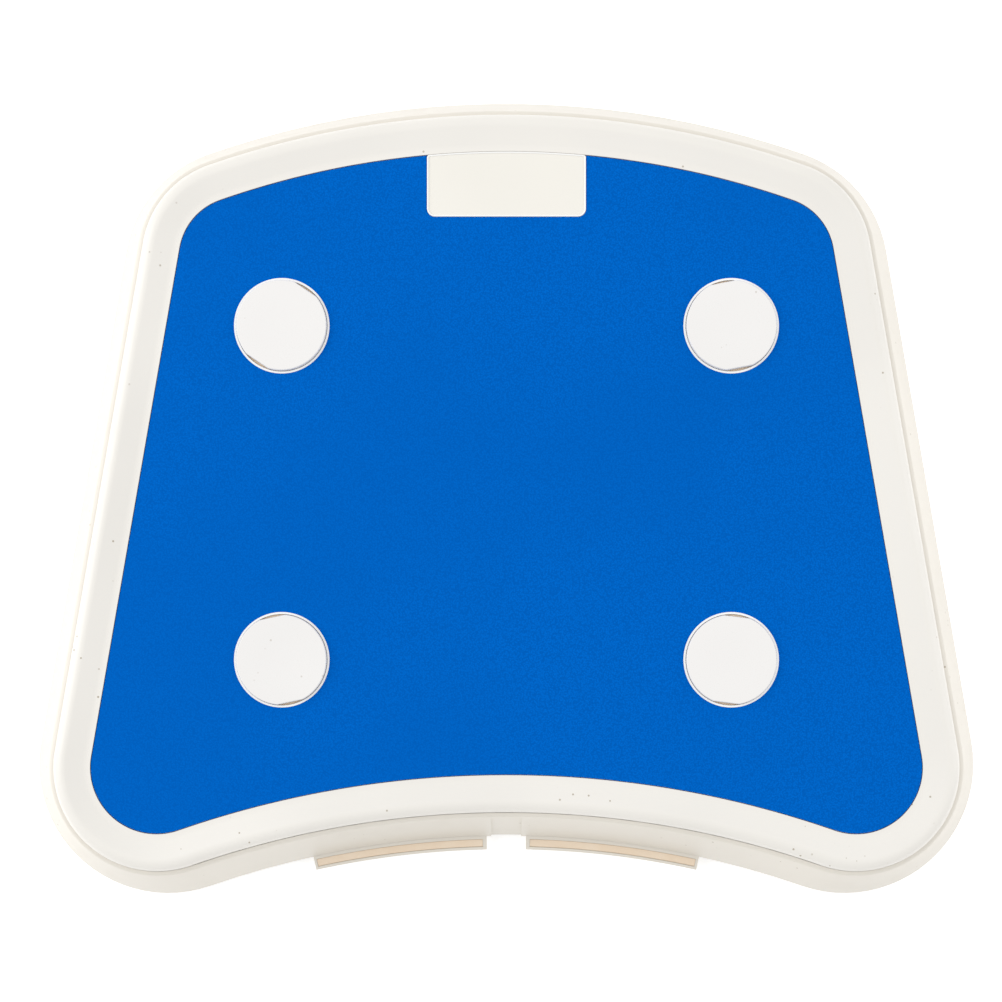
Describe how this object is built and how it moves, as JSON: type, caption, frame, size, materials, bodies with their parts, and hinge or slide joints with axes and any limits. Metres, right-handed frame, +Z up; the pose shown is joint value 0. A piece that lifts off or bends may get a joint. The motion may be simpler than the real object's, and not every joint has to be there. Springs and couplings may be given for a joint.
{
  "type": "transfer board",
  "caption": "Moulded transfer board with a raised rim, a blue non-slip deck, turning round caps, a blank label plate, rubber feet and edge rails.",
  "frame": {"origin": "on the floor, under the middle of the board's overall outline", "axes": "+X to the right along the board's width, +Y from the hollow near edge to the bowed far edge with the label plate, +Z up"},
  "size_m": [0.6, 0.5069, 0.0496],
  "materials": {
    "tray_plastic": "smooth moulded, satin sheen",
    "housing_plastic": "smooth moulded, satin sheen",
    "non_slip_blue": "fine pebbled non-slip grain",
    "label_plastic": "blank satin plate",
    "cap_plastic": "satin white",
    "tan_rubber": "matt tan elastomer",
    "foot_rubber": "matt dark rubber",
    "zinc_steel": "zinc plated"
  },
  "bodies": {
    "board": {"top_tray": "tray_plastic", "base_housing": "housing_plastic", "surface_panel": "non_slip_blue", "label_plate": "label_plastic", "cap_seal_back_left": "tan_rubber", "foot_back_left": "foot_rubber", "foot_stud_back_left": "zinc_steel", "foot_washer_back_left": "zinc_steel", "foot_nut_back_left": "zinc_steel", "cap_seal_back_right": "tan_rubber", "foot_back_right": "foot_rubber", "foot_stud_back_right": "zinc_steel", "foot_washer_back_right": "zinc_steel", "foot_nut_back_right": "zinc_steel", "cap_seal_front_left": "tan_rubber", "foot_front_left": "foot_rubber", "foot_stud_front_left": "zinc_steel", "foot_washer_front_left": "zinc_steel", "foot_nut_front_left": "zinc_steel", "cap_seal_front_right": "tan_rubber", "foot_front_right": "foot_rubber", "foot_stud_front_right": "zinc_steel", "foot_washer_front_right": "zinc_steel", "foot_nut_front_right": "zinc_steel", "edge_rail_left": "housing_plastic", "rail_liner_left": "tan_rubber", "edge_rail_right": "housing_plastic", "rail_liner_right": "tan_rubber", "case_screws": "zinc_steel", "rail_screws": "zinc_steel"},
    "back_left_cap": {"cap_back_left": "cap_plastic"},
    "back_right_cap": {"cap_back_right": "cap_plastic"},
    "front_left_cap": {"cap_front_left": "cap_plastic"},
    "front_right_cap": {"cap_front_right": "cap_plastic"}
  },
  "joints": [
    {"name": "cap_back_left_turn", "type": "hinge", "parent": "board", "child": "back_left_cap", "pos_m": [-0.1395, 0.10365, 0.045], "axis": [0, 0, 1], "continuous": true},
    {"name": "cap_back_right_turn", "type": "hinge", "parent": "board", "child": "back_right_cap", "pos_m": [0.1395, 0.10365, 0.045], "axis": [0, 0, 1], "continuous": true},
    {"name": "cap_front_left_turn", "type": "hinge", "parent": "board", "child": "front_left_cap", "pos_m": [-0.1395, -0.10365, 0.045], "axis": [0, 0, 1], "continuous": true},
    {"name": "cap_front_right_turn", "type": "hinge", "parent": "board", "child": "front_right_cap", "pos_m": [0.1395, -0.10365, 0.045], "axis": [0, 0, 1], "continuous": true}
  ]
}
